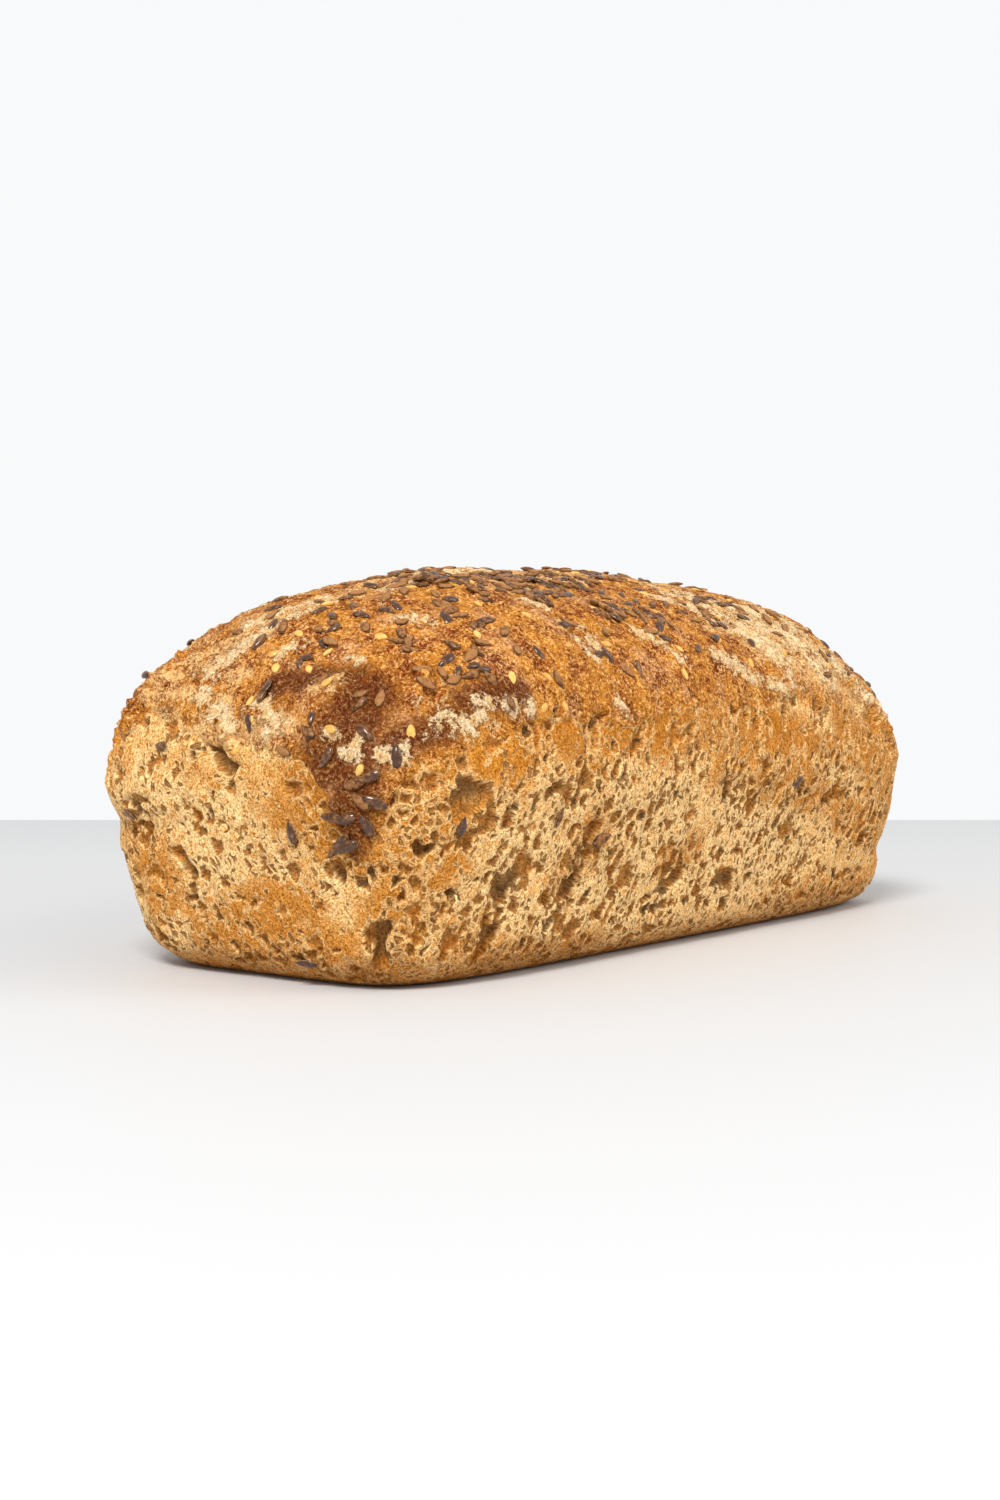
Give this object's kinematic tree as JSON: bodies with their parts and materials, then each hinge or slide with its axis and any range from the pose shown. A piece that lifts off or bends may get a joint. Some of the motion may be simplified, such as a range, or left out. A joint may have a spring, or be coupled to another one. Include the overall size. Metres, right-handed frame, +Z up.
{
  "type": "seeded mini loaf",
  "caption": "Oblong bread loaf baked in a tin, with leaning pitted walls, a rounded dome above the rim line and seeds fused to the top, standing on a flat base.",
  "frame": {"origin": "middle of the loaf's bounding box, at its flat base", "axes": "+X along the loaf's length, +Y across it, +Z up"},
  "size_m": [0.2194, 0.1016, 0.0862],
  "materials": {
    "crust": "matt baked crust, golden brown on the dome and pale tan on the walls"
  },
  "bodies": {
    "root": {"loaf": "crust"}
  },
  "joints": []
}
